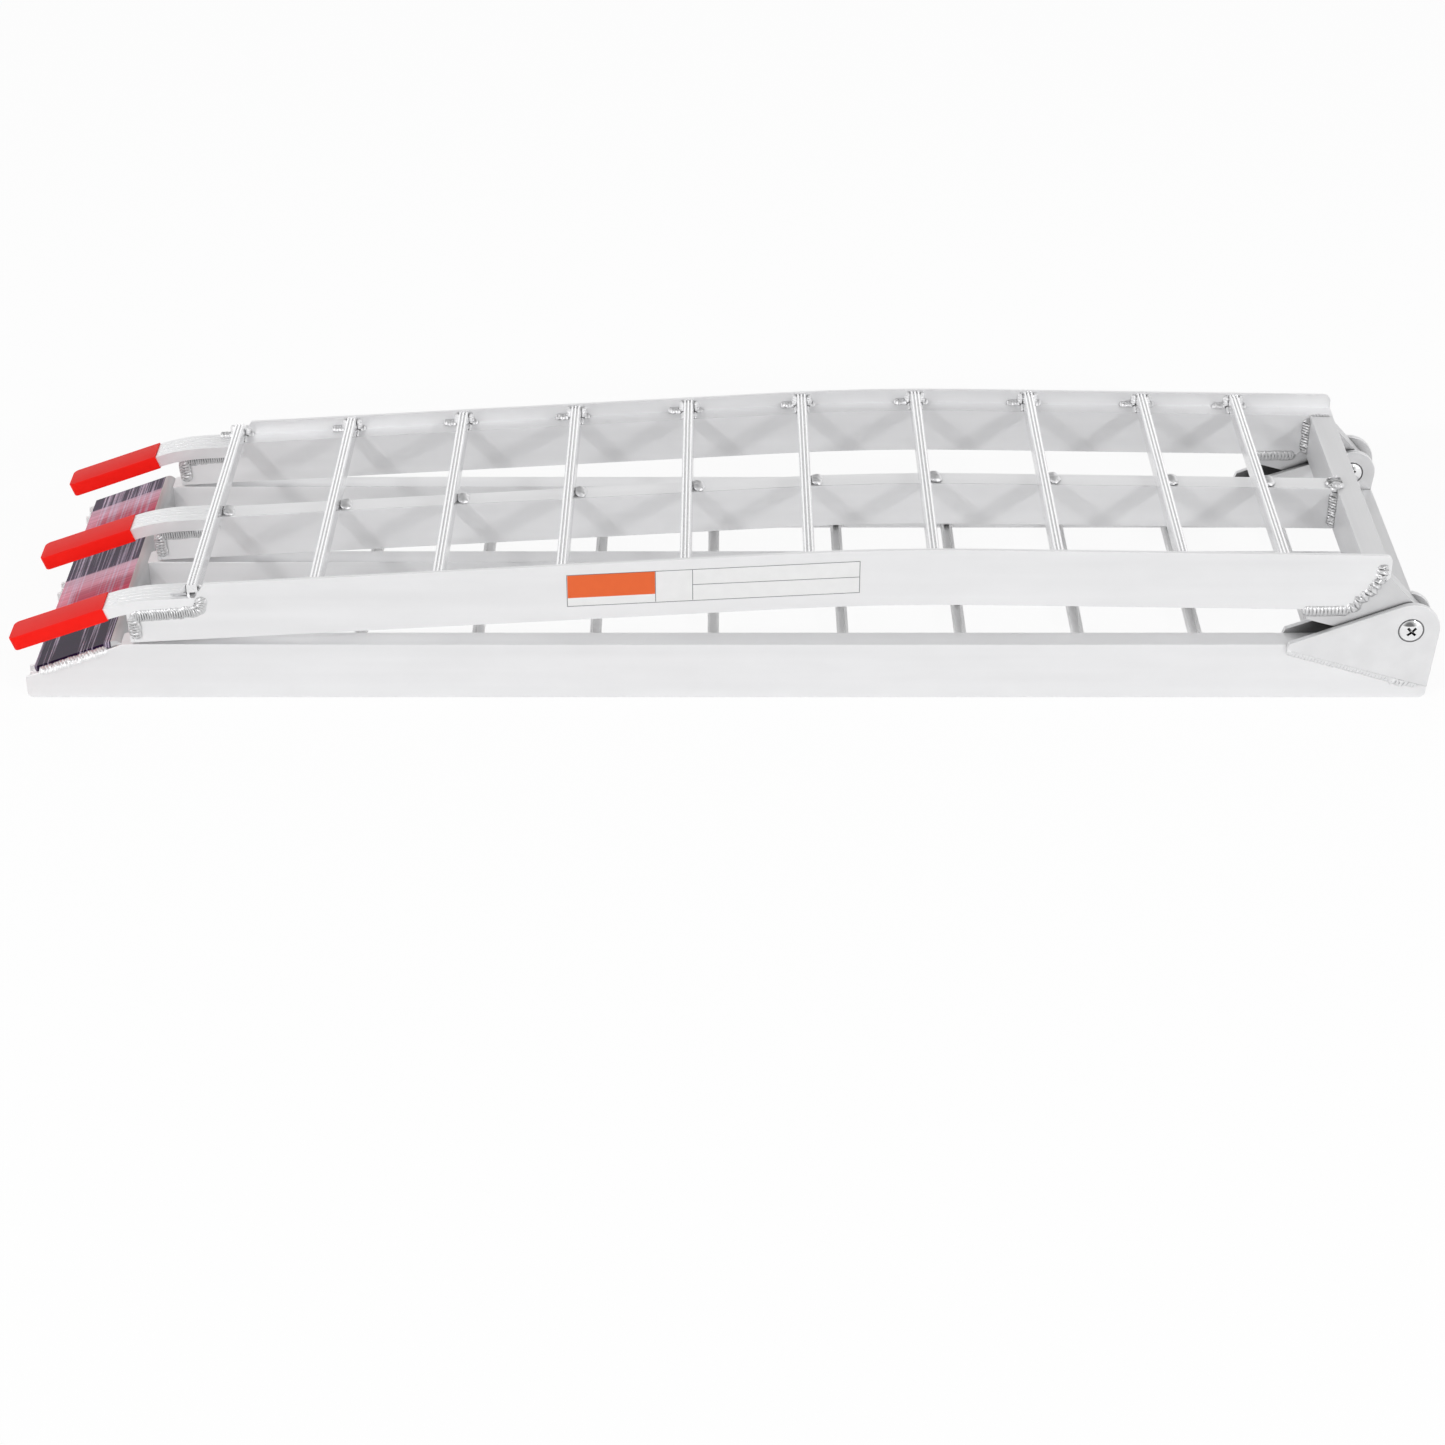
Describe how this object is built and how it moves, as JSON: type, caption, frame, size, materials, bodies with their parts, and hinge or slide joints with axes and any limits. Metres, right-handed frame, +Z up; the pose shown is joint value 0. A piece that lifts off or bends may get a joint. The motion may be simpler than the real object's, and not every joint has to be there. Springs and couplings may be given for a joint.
{
  "type": "folding loading ramp",
  "caption": "Folding arched loading ramp, folded flat: two hinged three-rail sections with ribbed rungs, sleeved tailgate fingers and a sloping ground plate.",
  "frame": {"origin": "middle of the folded ramp's footprint, on the floor it lies on", "axes": "+X along the ramp towards the hinge, +Y across it, +Z up, tread side of the upper section up"},
  "size_m": [1.1648, 0.321, 0.1371],
  "materials": {
    "rail_aluminium": "satin mill-finish extrusion",
    "rung_aluminium": "ribbed extrusion, bright",
    "finger_aluminium": "satin bar with fine lengthwise grooves",
    "hinge_plate_aluminium": "fine-blasted plate",
    "sleeve_vinyl": "smooth red dipped vinyl",
    "ground_plate_metal": "polished dark plate with rolling streaks",
    "pivot_chrome": "polished"
  },
  "bodies": {
    "lower_section": {"clevis_plate_far_inner": "hinge_plate_aluminium", "clevis_plate_far_outer": "hinge_plate_aluminium", "clevis_plate_near_inner": "hinge_plate_aluminium", "clevis_plate_near_outer": "hinge_plate_aluminium", "ground_plate": "ground_plate_metal", "lower_crossbar": "rail_aluminium", "lower_rail_centre": "rail_aluminium", "lower_rail_far": "rail_aluminium", "lower_rail_near": "rail_aluminium", "lower_rung_01": "rung_aluminium", "lower_rung_02": "rung_aluminium", "lower_rung_03": "rung_aluminium", "lower_rung_04": "rung_aluminium", "lower_rung_05": "rung_aluminium", "lower_rung_06": "rung_aluminium", "lower_rung_07": "rung_aluminium", "lower_rung_08": "rung_aluminium", "lower_rung_09": "rung_aluminium", "lower_rung_10": "rung_aluminium", "pivot_barrel_far": "pivot_chrome", "pivot_barrel_near": "pivot_chrome", "pivot_screw_far": "pivot_chrome", "pivot_screw_near": "pivot_chrome"},
    "upper_section": {"end_cap_centre": "rail_aluminium", "end_cap_far": "rail_aluminium", "end_cap_near": "rail_aluminium", "finger_centre": "finger_aluminium", "finger_far": "finger_aluminium", "finger_near": "finger_aluminium", "finger_sleeve_centre": "sleeve_vinyl", "finger_sleeve_far": "sleeve_vinyl", "finger_sleeve_near": "sleeve_vinyl", "tongue_far": "hinge_plate_aluminium", "tongue_near": "hinge_plate_aluminium", "upper_crossbar": "rail_aluminium", "upper_rail_centre": "rail_aluminium", "upper_rail_far": "rail_aluminium", "upper_rail_near": "rail_aluminium", "upper_rung_01": "rung_aluminium", "upper_rung_02": "rung_aluminium", "upper_rung_03": "rung_aluminium", "upper_rung_04": "rung_aluminium", "upper_rung_05": "rung_aluminium", "upper_rung_06": "rung_aluminium", "upper_rung_07": "rung_aluminium", "upper_rung_08": "rung_aluminium", "upper_rung_09": "rung_aluminium", "upper_rung_10": "rung_aluminium"}
  },
  "joints": [
    {"name": "fold", "type": "hinge", "parent": "lower_section", "child": "upper_section", "pos_m": [0.5589, 0, 0.06594], "axis": [0, 1, 0], "range_deg": [0, 180]}
  ]
}
